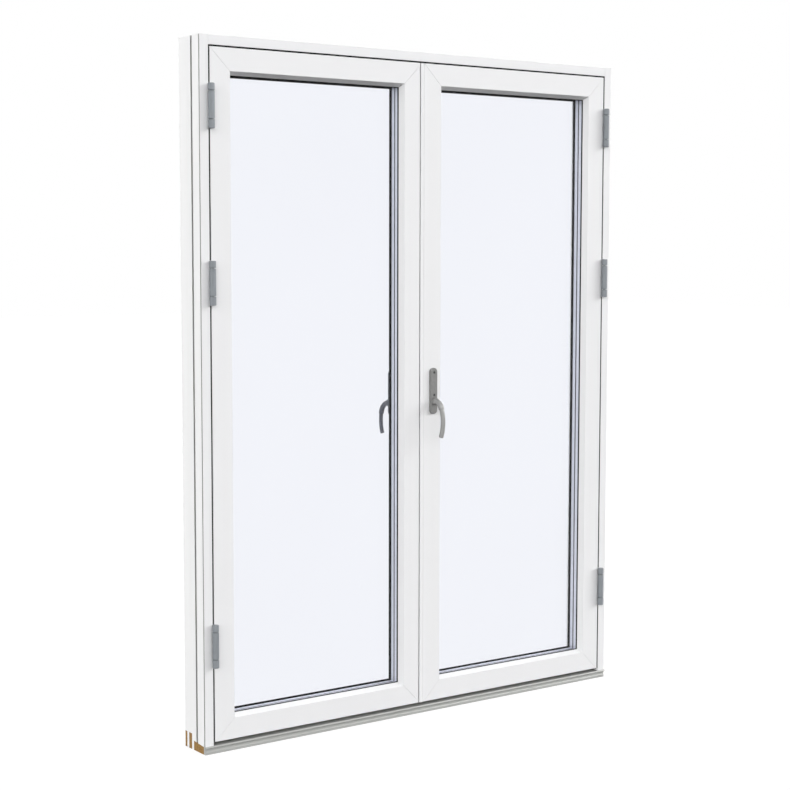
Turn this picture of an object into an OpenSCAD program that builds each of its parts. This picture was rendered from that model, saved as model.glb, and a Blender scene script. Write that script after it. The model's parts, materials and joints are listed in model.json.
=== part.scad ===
// Outward-opening french doors: two glazed, aluminium-clad timber leaves in a timber frame.
// The origin is the middle of the sill's underside. X runs along the doors, Y from outside to inside, Z up.
// Inside the modules Y is the depth behind the outer face, and placed() moves the result to the origin.

/* [Frame] */
// Overall width of the frame
frame_w = 1580; // [1380:10:1980]
// Overall height of the frame
frame_h = 2080; // [1980:10:2380]
// Overall depth of the frame
frame_d = 120; // [116:1:140]
// Visible width of the jambs and the head
frame_face = 28; // [26:0.5:36]
// How far the stop stands out past the rebate
stop_reach = 17; // [12:0.5:22]
// Depth at which the stop begins
stop_depth = 80; // [78:0.5:84]
// Sheet thickness of the frame covers
cover_t = 1.5; // [1.5:0.1:2.5]
// Depth of the covers' return into the rebate
cover_return = 12; // [8:0.5:14]
// Width of the shadow slot behind the covers' outer edge
edge_slot = 5; // [3:0.5:6]
// How far the shadow slot goes in
edge_slot_in = 10; // [4:0.5:12]
// Depth of the middle of the outer groove
groove_at = 49; // [30:0.5:52]
// Width of the outer groove
groove_w = 9; // [6:0.5:12]
// How far the outer groove goes in
groove_in = 10; // [3:0.5:12]
// How far the head is let into each jamb
housing = 10; // [6:0.5:14]
// Radius of the fixing holes through the jambs, in the middle of the outer groove
fixing_r = 3.5; // [2:0.25:4]
// Depth at which the outer seal in the gap between frame and leaves begins
gap_seal_at = 1; // [1:0.5:4]
// Depth of the outer seal
gap_seal_d = 6; // [3:0.5:6]
// Clearance of the outer seal to the leaves
gap_seal_clear = 0.6; // [0.6:0.1:1.2]
// Room between the outer seal and each end of a hinge
gap_seal_room = 1; // [0.5:0.5:3]
// Height of the lowest and, measured down from the top, of the highest fixing hole
fixing_end = 200; // [120:5:240]
// Spacing of the two middle fixing holes
fixing_mid_spacing = 400; // [300:10:600]

/* [Sill] */
// Height of the threshold at the outer face
tread_h = 24.5; // [23:0.5:26]
// Rise of the threshold from the outer face to the stop
tread_rise = 7; // [4:0.5:7]
// Thickness of the threshold's tread
tread_t = 2.5; // [2:0.1:4]
// Depth of the threshold's solid nose
nose_d = 10; // [8:0.5:14]
// How far the nose stands out of the outer face
nose_out = 5; // [3:0.5:6]
// Chamfer on the nose's upper edge
nose_chamfer = 3; // [1:0.5:3]
// Radius of the cove in the nose's front
cove_r = 8.5; // [8:0.5:9]
// How far the cove cuts in behind the outer face
cove_in = 1.5; // [1:0.5:4]
// Height of the sill's stop
upstand_h = 47; // [44:0.5:48]
// Width of the jamb's fingers in the comb joint
finger_w = 11.5; // [8:0.5:13]
// Width of the sill's tenon between the fingers
tenon_w = 17; // [12:0.5:18]

/* [Leaves] */
// Gap between the leaves and the frame
leaf_gap = 4.8; // [4:0.1:5]
// Gap between the left leaf and the cover strip
meeting_gap = 3.5; // [3.5:0.1:5]
// Height of the leaves' lower edge
leaf_bottom = 34.5; // [34:0.5:36]
// Depth of the leaves
leaf_d = 102; // [98:0.5:104]
// Visible width of the stiles and the top rail
sash_face = 66; // [64:0.5:74]
// Visible width of the bottom rail
bottom_face = 63; // [60:0.5:80]
// Visible width of the left leaf's meeting stile
left_meeting_face = 58.5; // [58:0.5:62]
// Width of the cover strip over the meeting joint
strip_w = 13; // [12:0.5:14]
// Distance of the cover strip's leg from the stile's edge
strip_leg_in = 1; // [0.5:0.1:2]
// Width of the left meeting stile's timber, from the opening
left_timber_w = 53; // [52:0.5:53]
// Width of the right meeting stile's timber, from the opening
right_timber_w = 73.5; // [72:0.5:73.5]
// Depth of the room for the seal between leaf and stop
seal_room = 4; // [3:0.5:5]
// Clearance of the seals to what they close on
seal_clear = 0.4; // [0.3:0.1:0.6]
// How far the frame seal stays back from the stop's edge
seal_set_back = 1; // [0.5:0.1:2]
// Gap between a leaf's inner part and the stop
inner_gap = 4; // [3.5:0.1:5]
// Distance of the inner face's edge from the opening
lip_edge = 12; // [8:0.5:12]
// How far the timber lip stays behind the inner gasket's nose
lip_back = 5; // [4:0.5:6]
// Depth of the square edge between the lip's slope and the inner face
lip_square = 4; // [2:0.5:8]
// Length of the rails' tenons
tenon_l = 27; // [20:1:28]
// Thickness of the rails' tenons
tenon_t = 16; // [10:1:24]
// Height of the rails' tenons
tenon_h = 40; // [20:1:44]

/* [Cladding] */
// Sheet thickness of the leaf cladding
clad_t = 2; // [1.5:0.1:2.5]
// Depth of the leaf cladding
clad_d = 17.5; // [16:0.5:18]
// Width of the bevel that leads to the glass
bevel_w = 10.5; // [10:0.5:12]
// Width of the foot that holds the outer gasket
foot_w = 10; // [8:0.5:11]
// Distance of the inner leg from the opening
leg_at = 38; // [24:0.5:48]
// Width of the open mitre joint between two cladding bars
mitre_gap = 0.7; // [0.1:0.1:0.8]
// Chamfer on the covers' and the cladding's outer edges
edge_chamfer = 0.8; // [0.4:0.1:1.2]

/* [Glazing] */
// Thickness of each pane
pane_t = 4; // [3:0.5:6]
// Width of the spaces between the panes
cavity = 16; // [12:0.5:16]
// Thickness of the glazing gaskets
gasket_t = 4; // [3:0.5:5]
// Height of the glazing gaskets
gasket_h = 9; // [7:0.5:10]
// How far the gaskets' noses show past the cladding
gasket_proud = 2.25; // [1.5:0.25:2.5]
// How far the panes' edges reach past the sight line
glass_bite = 14; // [12:0.5:15]
// Room around the panes, filled by the glazing blocks
glass_room = 3.5; // [3:0.5:5]
// Length of a glazing block
block_l = 100; // [60:5:140]
// Distance of the glazing blocks from the corners
block_from_corner = 110; // [80:5:160]
// Height of the spacer frames
spacer_h = 7; // [6:0.5:8]
// Distance of the spacer frames from the panes' edges
spacer_inset = 5; // [4:0.5:6]

/* [Hinges] */
// Radius of the hinge knuckles
knuckle_r = 9.75; // [8.5:0.25:10]
// Distance of the hinge axis from the outer face
hinge_out = 11.7; // [11.5:0.1:14]
// Radius of the hinge pins
pin_r = 4; // [3:0.1:5]
// Running clearance of pins, rods, spindles and followers
running_clear = 0.05; // [0.02:0.01:0.1]
// Gap between two knuckles of a hinge
knuckle_gap = 1.4; // [0.3:0.1:1.6]
// Chamfer on the knuckles' ends
knuckle_chamfer = 1.2; // [0.6:0.1:1.6]
// Length of the upper knuckle
knuckle_upper = 20.5; // [16:0.5:28]
// Length of the middle knuckle
knuckle_middle = 79; // [60:0.5:90]
// Length of the lower knuckle
knuckle_lower = 25; // [18:0.5:32]
// Thickness of the hinge plates
plate_t = 1.8; // [1.5:0.1:1.9]
// How far the hinge plates reach into the gap
plate_w = 36; // [28:1:44]
// Height of the middle of the lower hinges
hinge_low = 322; // [260:1:400]
// Height of the middle of the middle hinges
hinge_mid = 1378; // [900:1:1450]
// Distance of the middle of the upper hinges from the frame's top
hinge_from_top = 200; // [160:1:300]

/* [Handles] */
// Height of the right leaf's lever pivot
handle_z = 997; // [900:1:1100]
// How much lower the left leaf's lever pivot is
left_pivot_drop = 9; // [0:1:30]
// Distance of the right leaf's spindle from its opening
right_spindle_at = 30; // [28:0.5:36]
// Distance of the left leaf's spindle from its opening
left_spindle_at = 25.5; // [25:0.5:27]
// Length of a handle plate
handle_plate_l = 146; // [136:1:170]
// Width of a handle plate
handle_plate_w = 27; // [24:0.5:27]
// Thickness of a handle plate
handle_plate_t = 9; // [7:0.5:11]
// Chamfer around a handle plate
handle_plate_chamfer = 2.5; // [1:0.5:3]
// Distance of the lever pivot from the plate's lower end
pivot_from_end = 40; // [30:1:44]
// Height of the lower plate screw above the pivot
screw_from_pivot = 20.5; // [18:0.5:24]
// Spacing of the two plate screws
screw_spacing = 71; // [60:0.5:74]
// Radius of the plate screws
screw_r = 2.5; // [2:0.1:3]
// Radius of the plate screws' heads
screw_head_r = 4; // [3.5:0.1:4.5]
// Height of the plate screws' heads
screw_head_t = 2.5; // [2:0.1:3]
// How far the plate screws' heads lie below the plate's face
screw_recess = 3; // [1:0.5:3.5]
// Length of the left plate's screws in the timber
timber_screw_l = 32; // [25:1:33]
// Radius of the levers' necks
neck_r = 11; // [10:0.25:12]
// Radius of the outside lever's grip
outer_grip_r = 7.5; // [6:0.25:8.25]
// Radius of the outside lever in the bend between neck and grip
outer_bend_bar_r = 9.25; // [8.5:0.25:9.75]
// Distance of the outside grip from the leaf's face where it is widest
outer_grip_out = 54; // [50:0.5:64]
// Radius of the outside lever's bend
outer_bend_r = 30; // [26:0.5:32]
// How far below the pivot the outside grip is widest
outer_widest = 63; // [60:1:74]
// How far below the pivot the outside grip ends
outer_drop = 110; // [100:1:125]
// Radius of the inside levers' grips
inner_grip_r = 6.25; // [5.5:0.25:7]
// Radius of the inside levers in the bend between neck and grip
inner_bend_bar_r = 8; // [7.5:0.25:9]
// Distance of the inside grips from the leaf's face where they are widest
inner_grip_out = 63.5; // [56:0.5:70]
// Radius of the inside levers' bends
inner_bend_r = 42; // [36:0.5:44]
// How far below the pivot the inside grips are widest
inner_widest = 57; // [55:1:74]
// How far below the pivot the inside grips end
inner_drop = 100; // [90:1:115]
// Radius of the grips' bows
bow_r = 120; // [115:1:200]
// How much the lever's ball joints stand proud of the thicker bar that they end
joint_swell = 0.15; // [0.1:0.05:0.3]
// Width of the square spindle
spindle_w = 8; // [6:0.5:9]
// How far the spindle goes into a lever
spindle_in = 14; // [10:0.5:16]
// Radius of the lever's tail that turns in the plate
tail_r = 8; // [7.5:0.1:8.5]
// Length of the lever's tail
tail_l = 6; // [4:0.5:6.5]
// Clearance between a lever's neck and its plate
lever_clear = 0.3; // [0.2:0.1:0.5]

/* [Locks] */
// Depth of the locking rods behind the outer face
rod_depth = 56; // [50:0.5:58]
// Radius of the locking rods
rod_r = 5; // [4:0.1:5.5]
// How far the rods' ends lie inside the leaf when drawn back
rod_set_back = 2; // [1:0.5:4]
// Height of the lock case
case_h = 140; // [120:2:180]
// Thickness of the lock case
case_t = 16; // [12:0.5:18]
// How far the lock case reaches past the spindle
case_past_spindle = 14; // [11:0.5:16]
// Radius of the lock's follower
follower_r = 9; // [7:0.25:10]
// Thickness of the lock's faceplate
faceplate_t = 2.5; // [2:0.1:4]
// Width of the lock's faceplate
faceplate_w = 20; // [16:0.5:24]
// Distance of the faceplate's ends from the leaf's edges
faceplate_from_end = 45; // [30:1:80]
// Width of the groove that the rods run in
rod_groove = 13; // [12:0.5:14]
// How far a rod goes into the lock case when drawn back
rod_in_case = 28; // [24:1:32]
// Outer radius of the rod keepers
keeper_r = 10; // [9:0.5:11]
// Radius of the rod keepers' bore
keeper_bore_r = 6.5; // [6:0.25:7.5]
// Length of the rod keepers
keeper_l = 20; // [19:0.5:22]

/* [Hidden] */
$fn = 48;
LEFT = 0;
RIGHT = 1;
cut = 1;
half_w = frame_w / 2;
stop_w = frame_face + stop_reach;
mid_half = (left_meeting_face + meeting_gap + strip_w + sash_face) / 2;

// Opening of the right leaf's cladding; the left leaf is its mirror image
open_x0 = mid_half;
open_x1 = half_w - frame_face - leaf_gap - sash_face;
open_z0 = leaf_bottom + bottom_face;
open_z1 = frame_h - frame_face - leaf_gap - sash_face;
leaf_top = open_z1 + sash_face;

// Depths of the glazing, from the outer gasket to the timber lip
glass_front = clad_d + gasket_t;
glass_t = 3 * pane_t + 2 * cavity;
glass_back = glass_front + glass_t;
lip_front = glass_back + gasket_t;
pane_past_open = glass_bite - bevel_w;
gasket_nose = bevel_w + gasket_proud;
rebate_edge = pane_past_open + glass_room;
step_depth = stop_depth - seal_room;
step_w = stop_reach + inner_gap - leaf_gap;

// Lower and upper end of the leaves' inner part, which passes between the stops
inner_z0 = upstand_h + inner_gap;
inner_z1 = frame_h - stop_w - inner_gap;

hinge_x = half_w - frame_face - leaf_gap / 2;
hinge_len = knuckle_upper + knuckle_middle + knuckle_lower + 2 * knuckle_gap;
hinge_heights = [hinge_low, hinge_mid, frame_h - hinge_from_top];

nose_mid = tread_h / 2;
cove_center_d = cove_in - cove_r;
tread_slope = tread_rise / stop_depth;

function tread_top(d) = tread_h + tread_slope * d;
function meeting_face(k) = k == LEFT ? left_meeting_face : sash_face;
function timber_w(k) = k == LEFT ? left_timber_w : right_timber_w;
function pivot_z(k) = k == LEFT ? handle_z - left_pivot_drop : handle_z;
function spindle_x(k) = open_x0 - (k == LEFT ? left_spindle_at : right_spindle_at);
function timber_edge(k) = open_x0 - timber_w(k);
function rod_x(k) = timber_edge(k) + faceplate_t + rod_groove / 2;

fixing_heights = [
    fixing_end,
    frame_h / 2 - fixing_mid_spacing / 2,
    frame_h / 2 + fixing_mid_spacing / 2,
    frame_h - fixing_end
];

white = [0.94, 0.94, 0.94];
timber = [0.66, 0.5, 0.3];
mill_aluminium = [0.66, 0.67, 0.66];
zinc = [0.63, 0.65, 0.68];
satin_metal = [0.6, 0.6, 0.59];
black_rubber = [0.05, 0.05, 0.06];
grey_rubber = [0.5, 0.5, 0.5];
clear_glass = [0.9, 0.94, 0.97, 0.35];
spacer_metal = [0.78, 0.8, 0.86];
plastic = [0.3, 0.3, 0.32];

// Moves a piece from the outer face to the frame's middle, and mirrors it for the left side
module placed(k) {
    translate([0, -frame_d / 2, 0]) {
        if (k == LEFT) mirror([1, 0, 0]) children();
        else children();
    }
}

// Box given by its lowest and highest corners
module box(low, high) {
    translate(low) cube(high - low);
}

// Cylinder along Y from one depth to another
module depth_cylinder(x, z, d0, d1, r) {
    translate([x, d1, z]) rotate([90, 0, 0]) cylinder(h = d1 - d0, r = r);
}

// Extrudes a section of [depth, height] along X
module along_x(x0, x1) {
    translate([x0, 0, 0]) rotate([90, 0, 90]) linear_extrude(x1 - x0) children();
}

// Section of jambs and head: [distance in from the outer side, depth]
module frame_section() {
    polygon([
        [edge_slot_in, cover_t],
        [frame_face - cover_t, cover_t],
        [frame_face - cover_t, cover_return],
        [frame_face, cover_return],
        [frame_face, stop_depth],
        [stop_w, stop_depth],
        [stop_w, frame_d],
        [0, frame_d],
        [0, groove_at + groove_w / 2],
        [groove_in, groove_at + groove_w / 2],
        [groove_in, groove_at - groove_w / 2],
        [0, groove_at - groove_w / 2],
        [0, cover_t + edge_slot],
        [edge_slot_in, cover_t + edge_slot]
    ]);
}

// Section of the frame covers: [distance in from the outer side, depth]
module cover_section() {
    polygon([
        [0, edge_chamfer],
        [edge_chamfer, 0],
        [frame_face - edge_chamfer, 0],
        [frame_face, edge_chamfer],
        [frame_face, cover_return],
        [frame_face - cover_t, cover_return],
        [frame_face - cover_t, cover_t],
        [0, cover_t]
    ]);
}

// Upright bar of the right-hand side, with its outer side on the frame's edge
module right_upright() {
    translate([half_w, 0, 0]) mirror([1, 0, 0]) linear_extrude(frame_h) children();
}

// Bar along the frame's top edge
module top_bar(reach) {
    translate([-reach, 0, frame_h]) rotate([0, 90, 0]) linear_extrude(2 * reach) children();
}

module head_blank() {
    top_bar(half_w - frame_face + housing) frame_section();
}

module jamb_cover_blank() {
    difference() {
        right_upright() cover_section();
        threshold_envelope();
        sill_blank();
    }
}

module sill_blank() {
    finger_2 = stop_depth + tenon_w;
    difference() {
        along_x(-half_w, half_w) polygon([
            [nose_d, 0],
            [nose_d, tread_top(nose_d) - tread_t],
            [stop_depth, tread_top(stop_depth) - tread_t],
            [stop_depth, upstand_h],
            [frame_d, upstand_h],
            [frame_d, 0]
        ]);
        for (side = [-1, 1]) {
            x0 = side * half_w;
            translate([x0, 0, 0]) {
                box([-frame_face, stop_depth - finger_w, -cut], [frame_face, stop_depth, upstand_h + cut]);
                box([-stop_w, finger_2, -cut], [stop_w, finger_2 + finger_w, upstand_h + cut]);
            }
        }
    }
}

// Nose and tread of the threshold, before the cove is cut
module threshold_envelope() {
    along_x(-half_w, half_w) polygon([
        [0, 0],
        [0, nose_mid],
        [-nose_out, nose_mid],
        [-nose_out, tread_top(-nose_out) - nose_chamfer],
        [nose_chamfer - nose_out, tread_top(nose_chamfer - nose_out)],
        [nose_d, tread_top(nose_d)],
        [nose_d, 0]
    ]);
    along_x(-half_w + frame_face, half_w - frame_face) polygon([
        [0, tread_top(0) - tread_t],
        [0, tread_top(0)],
        [stop_depth, tread_top(stop_depth)],
        [stop_depth, tread_top(stop_depth) - tread_t]
    ]);
}

// Sockets that take the rods' ends, in the head and in the sill
module keeper_places() {
    for (x = [rod_x(RIGHT), -rod_x(LEFT)]) {
        translate([x, rod_depth, frame_h - frame_face]) children();
        translate([x, rod_depth, tread_top(rod_depth) - keeper_l]) children();
    }
}

module keeper_outside() {
    keeper_places() cylinder(h = keeper_l, r = keeper_r);
}

module jamb(k) {
    color(white) placed(k) difference() {
        right_upright() frame_section();
        head_blank();
        sill_blank();
        threshold_envelope();
        for (z = fixing_heights) {
            translate([half_w - frame_face - cut, groove_at, z])
                rotate([0, 90, 0])
                    cylinder(h = frame_face + 2 * cut, r = fixing_r);
        }
    }
}

module frame_head() {
    color(white) placed(RIGHT) difference() {
        head_blank();
        jamb_cover_blank();
        mirror([1, 0, 0]) jamb_cover_blank();
        keeper_outside();
    }
}

module sill() {
    color(timber) placed(RIGHT) difference() {
        sill_blank();
        keeper_outside();
    }
}

module jamb_cover(k) {
    color(white) placed(k) jamb_cover_blank();
}

module head_cover() {
    color(white) placed(RIGHT) top_bar(half_w - frame_face - mitre_gap / 2) cover_section();
}

module threshold_cover() {
    color(mill_aluminium) placed(RIGHT) difference() {
        threshold_envelope();
        translate([-half_w - cut, cove_center_d, nose_mid])
            rotate([0, 90, 0])
                cylinder(h = frame_w + 2 * cut, r = cove_r);
        keeper_places() cylinder(h = keeper_l + tread_rise, r = keeper_r);
    }
}

module rod_keepers() {
    color(zinc) placed(RIGHT) difference() {
        keeper_outside();
        keeper_places() translate([0, 0, -cut]) cylinder(h = keeper_l + 2 * cut, r = keeper_bore_r);
    }
}

// Closed ring on the face of the stop, all round the doorway
module frame_seal() {
    edge = frame_face + leaf_gap;
    inner = stop_w - seal_set_back;
    low = leaf_bottom + leaf_gap / 2;
    high = upstand_h - seal_set_back;
    color(black_rubber) placed(RIGHT) difference() {
        box([-half_w + edge, step_depth + seal_clear, low], [half_w - edge, stop_depth, frame_h - edge]);
        box([-half_w + inner, 0, high], [half_w - inner, frame_d, frame_h - inner]);
    }
}

// Soft strip in the gap between frame and leaves, up both jambs and along the head, open at the hinges
module outer_frame_seal() {
    inner = frame_face + leaf_gap - gap_seal_clear;
    reach = hinge_len / 2 + gap_seal_room;
    color(black_rubber) placed(RIGHT) difference() {
        box(
            [-half_w + frame_face, gap_seal_at, leaf_bottom],
            [half_w - frame_face, gap_seal_at + gap_seal_d, frame_h - frame_face]
        );
        box([-half_w + inner, 0, 0], [half_w - inner, frame_d, frame_h - inner]);
        for (z = hinge_heights) {
            box([-half_w, 0, z - reach], [half_w, frame_d, z + reach]);
        }
    }
}

// Bars of a leaf. The section is [distance outward from the opening, depth].
module hinge_bar(z0, z1) {
    translate([open_x1, 0, z0]) linear_extrude(z1 - z0) children();
}

module meeting_bar(z0, z1) {
    translate([open_x0, 0, z0]) mirror([1, 0, 0]) linear_extrude(z1 - z0) children();
}

module top_rail_bar(x0, x1) {
    translate([x1, 0, open_z1]) rotate([0, -90, 0]) linear_extrude(x1 - x0) children();
}

module bottom_rail_bar(x0, x1) {
    translate([x0, 0, open_z0]) rotate([0, 90, 0]) linear_extrude(x1 - x0) children();
}

// Timber section of a stile or rail. The step clears the frame's stop.
module timber_section(width, step) {
    polygon([
        [rebate_edge, clad_d],
        [width, clad_d],
        [width, step > 0 ? step_depth : leaf_d],
        [width - step, step > 0 ? step_depth : leaf_d],
        [width - step, leaf_d],
        [lip_edge, leaf_d],
        [lip_edge, leaf_d - lip_square],
        [lip_back - gasket_nose, lip_front],
        [rebate_edge, lip_front]
    ]);
}

module hinge_stile_blank() {
    hinge_bar(leaf_bottom, leaf_top) timber_section(sash_face, step_w);
}

module meeting_stile_blank(k) {
    meeting_bar(leaf_bottom, leaf_top) timber_section(timber_w(k), 0);
}

// Clears the stiles' ends where they pass the stop at the head and at the sill
module stile_end_steps() {
    box([-half_w, step_depth, 0], [half_w, frame_d, inner_z0]);
    box([-half_w, step_depth, inner_z1], [half_w, frame_d, frame_h]);
}

// Tenons of the rails, and the mortises that they fill
module rail_tenons(z) {
    for (x = [open_x0 - rebate_edge - tenon_l, open_x1 + rebate_edge]) {
        translate([x, rod_depth - tenon_t / 2, z - tenon_h / 2]) cube([tenon_l, tenon_t, tenon_h]);
    }
}

module top_tenons() {
    rail_tenons((open_z1 + rebate_edge + leaf_top) / 2);
}

module bottom_tenons() {
    rail_tenons((open_z0 - rebate_edge + leaf_bottom) / 2);
}

module hinge_stile(k) {
    color(white) placed(k) difference() {
        hinge_stile_blank();
        stile_end_steps();
        top_tenons();
        bottom_tenons();
    }
}

module meeting_stile(k) {
    front = k == LEFT ? rod_depth : clad_d - cut;
    color(white) placed(k) difference() {
        meeting_stile_blank(k);
        stile_end_steps();
        top_tenons();
        bottom_tenons();
        lock_outside(k);
        rod_groove_space(k);
        rod_space(k, leaf_bottom - cut, leaf_top + cut);
        depth_cylinder(spindle_x(k), pivot_z(k), front, leaf_d + cut, follower_r);
        if (k == RIGHT) screw_shanks(k, clad_d - cut, leaf_d + cut);
        else screw_shanks(k, left_screw_end, leaf_d + cut);
    }
}

module top_rail(k) {
    color(white) placed(k) {
        difference() {
            top_rail_bar(open_x0 - rebate_edge - cut, open_x1 + rebate_edge + cut)
                timber_section(sash_face, step_w);
            hinge_stile_blank();
            meeting_stile_blank(k);
        }
        top_tenons();
    }
}

module bottom_rail(k) {
    color(white) placed(k) {
        difference() {
            bottom_rail_bar(open_x0 - rebate_edge - cut, open_x1 + rebate_edge + cut)
                timber_section(bottom_face, inner_z0 - leaf_bottom);
            hinge_stile_blank();
            meeting_stile_blank(k);
        }
        bottom_tenons();
    }
}

// Section of a cladding bar: face, bevel and foot towards the glass, inner leg and outer lip
module clad_section(face) {
    slant = sqrt(bevel_w * bevel_w + clad_d * clad_d);
    back_u = clad_t * clad_d / slant;
    back_d = clad_t * bevel_w / slant;
    lean = bevel_w / clad_d;
    foot_d = clad_d - clad_t;
    polygon([
        [face, edge_chamfer],
        [face - edge_chamfer, 0],
        [0, 0],
        [-bevel_w, clad_d],
        [foot_w - bevel_w, clad_d],
        [foot_w - bevel_w, foot_d],
        [back_u - (foot_d - back_d) * lean, foot_d],
        [back_u - (clad_t - back_d) * lean, clad_t],
        [leg_at - clad_t, clad_t],
        [leg_at - clad_t, clad_d],
        [leg_at, clad_d],
        [leg_at, clad_t],
        [face - clad_t, clad_t],
        [face - clad_t, clad_d],
        [face, clad_d]
    ]);
}

// Wedge between the mitre planes at two corners of the opening, towards one side of it.
// Corners and direction are [x, z].
module mitre_wedge(corner_a, corner_b, outward) {
    along = (corner_b - corner_a) / norm(corner_b - corner_a);
    reach = sash_face + bottom_face;
    inside = bevel_w + cut;
    shift = outward * mitre_gap / sqrt(2);
    translate([0, frame_d, 0]) rotate([90, 0, 0]) linear_extrude(2 * frame_d) translate(shift) polygon([
        corner_a + (outward - along) * reach,
        corner_b + (outward + along) * reach,
        corner_b - (outward + along) * inside,
        corner_a - (outward - along) * inside
    ]);
}

module clad_hinge_side(k) {
    color(white) placed(k) intersection() {
        hinge_bar(leaf_bottom, leaf_top) clad_section(sash_face);
        mitre_wedge([open_x1, open_z1], [open_x1, open_z0], [1, 0]);
    }
}

module clad_meeting_side(k) {
    color(white) placed(k) difference() {
        intersection() {
            meeting_bar(leaf_bottom, leaf_top) clad_section(meeting_face(k));
            mitre_wedge([open_x0, open_z0], [open_x0, open_z1], [-1, 0]);
        }
        if (k == RIGHT) {
            depth_cylinder(spindle_x(k), pivot_z(k), -cut, clad_d, follower_r);
            screw_shanks(k, -cut, clad_d);
        }
    }
}

module clad_top(k) {
    color(white) placed(k) intersection() {
        top_rail_bar(open_x0 - meeting_face(k), open_x1 + sash_face) clad_section(sash_face);
        mitre_wedge([open_x0, open_z1], [open_x1, open_z1], [0, 1]);
    }
}

module clad_bottom(k) {
    color(white) placed(k) intersection() {
        bottom_rail_bar(open_x0 - meeting_face(k), open_x1 + sash_face) clad_section(bottom_face);
        mitre_wedge([open_x1, open_z0], [open_x0, open_z0], [0, -1]);
    }
}

// Strip that covers the meeting joint, flush with the cladding and carried on the stile by its leg
module right_cover_strip() {
    inner = sash_face + mitre_gap;
    outer = sash_face + strip_w;
    leg = timber_w(RIGHT) - strip_leg_in;
    color(white) placed(RIGHT) meeting_bar(leaf_bottom, leaf_top) polygon([
        [inner, 0],
        [outer - edge_chamfer, 0],
        [outer, edge_chamfer],
        [outer, clad_t],
        [leg, clad_t],
        [leg, clad_d],
        [leg - clad_t, clad_d],
        [leg - clad_t, clad_t],
        [inner, clad_t]
    ]);
}

// Soft lip that closes the joint between the two meeting stiles on the inside
module right_meeting_seal() {
    x1 = timber_edge(RIGHT);
    x0 = -timber_edge(LEFT) + seal_clear;
    lip_t = gasket_t;
    back = leaf_d - gasket_t;
    color(grey_rubber) placed(RIGHT) translate([0, 0, inner_z0])
        linear_extrude(inner_z1 - inner_z0) polygon([
            [x1, back - 2 * lip_t],
            [x1, back],
            [x0, back],
            [x0, back - lip_t / 2],
            [x1 - lip_t, back - lip_t]
        ]);
}

// Rectangle around the opening, grown outward by a distance, between two depths
module around_opening(grow, d0, d1) {
    box([open_x0 - grow, d0, open_z0 - grow], [open_x1 + grow, d1, open_z1 + grow]);
}

module opening_ring(outer, inner, d0, d1) {
    difference() {
        around_opening(outer, d0, d1);
        around_opening(inner, d0 - cut, d1 + cut);
    }
}

// Outline, as [place, depth], of an opening from a0 to a1 that is grown by grow0 at d0 and by grow1 at d1
function narrowing_outline(a0, a1, grow0, grow1, d0, d1) = [
    [a0 - grow0, d0 - cut],
    [a1 + grow0, d0 - cut],
    [a1 + grow0, d0],
    [a1 + grow1, d1],
    [a1 + grow1, d1 + cut],
    [a0 - grow1, d1 + cut],
    [a0 - grow1, d1],
    [a0 - grow0, d0]
];

// The opening with four sloping sides, grown by grow0 at d0 and by grow1 at d1
module narrowing_opening(grow0, grow1, d0, d1) {
    intersection() {
        translate([0, 0, open_z0 - grow0])
            linear_extrude(open_z1 - open_z0 + 2 * grow0)
                polygon(narrowing_outline(open_x0, open_x1, grow0, grow1, d0, d1));
        translate([open_x1 + grow0, 0, 0]) rotate([0, -90, 0])
            linear_extrude(open_x1 - open_x0 + 2 * grow0)
                polygon(narrowing_outline(open_z0, open_z1, grow0, grow1, d0, d1));
    }
}

function pane_front(i) = glass_front + i * (pane_t + cavity);

module glass_panes(k) {
    color(clear_glass) placed(k) for (i = [0:2]) {
        around_opening(pane_past_open, pane_front(i), pane_front(i) + pane_t);
    }
}

module glass_spacers(k) {
    outer = pane_past_open - spacer_inset;
    color(spacer_metal) placed(k) for (i = [0:1]) {
        opening_ring(outer, outer - spacer_h, pane_front(i) + pane_t, pane_front(i + 1));
    }
}

// The outer gasket goes on with the cladding's slope, down to the glass
module glass_gaskets(k) {
    color(black_rubber) placed(k) {
        difference() {
            around_opening(gasket_h - gasket_nose, clad_d, glass_front);
            narrowing_opening(-bevel_w, -gasket_nose, clad_d, glass_front);
        }
        opening_ring(gasket_h - gasket_nose, -gasket_nose, glass_back, lip_front);
    }
}

module glass_blocks(k) {
    z0 = open_z0 - rebate_edge;
    x_left = open_x0 + block_from_corner;
    x_right = open_x1 - block_from_corner - block_l;
    z_low = open_z0 + block_from_corner;
    z_high = open_z1 - block_from_corner - block_l;
    color(plastic) placed(k) {
        for (x = [x_left, x_right]) {
            translate([x, glass_front, z0]) cube([block_l, glass_t, glass_room]);
        }
        translate([open_x1 + pane_past_open, glass_front, z_low]) cube([glass_room, glass_t, block_l]);
        translate([open_x0 - rebate_edge, glass_front, z_high]) cube([glass_room, glass_t, block_l]);
    }
}

// Knuckle of a hinge from one height to another, with chamfered ends
module knuckle(z0, z1) {
    translate([hinge_x, -hinge_out, z0]) rotate_extrude() polygon([
        [pin_r + running_clear, 0],
        [knuckle_r - knuckle_chamfer, 0],
        [knuckle_r, knuckle_chamfer],
        [knuckle_r, z1 - z0 - knuckle_chamfer],
        [knuckle_r - knuckle_chamfer, z1 - z0],
        [pin_r + running_clear, z1 - z0]
    ]);
}

// Neck that joins a knuckle to its plate, clear of the pin
module hinge_neck(x0, x1, z0, z1) {
    difference() {
        box([x0, -hinge_out, z0], [x1, cover_t, z1]);
        translate([hinge_x, -hinge_out, z0 - cut]) cylinder(h = z1 - z0 + 2 * cut, r = pin_r + running_clear);
    }
}

// Heights of a hinge's knuckles, counted from its middle
upper_z0 = hinge_len / 2 - knuckle_upper;
middle_z0 = -hinge_len / 2 + knuckle_lower + knuckle_gap;
middle_z1 = middle_z0 + knuckle_middle;
lower_z1 = -hinge_len / 2 + knuckle_lower;

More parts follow.
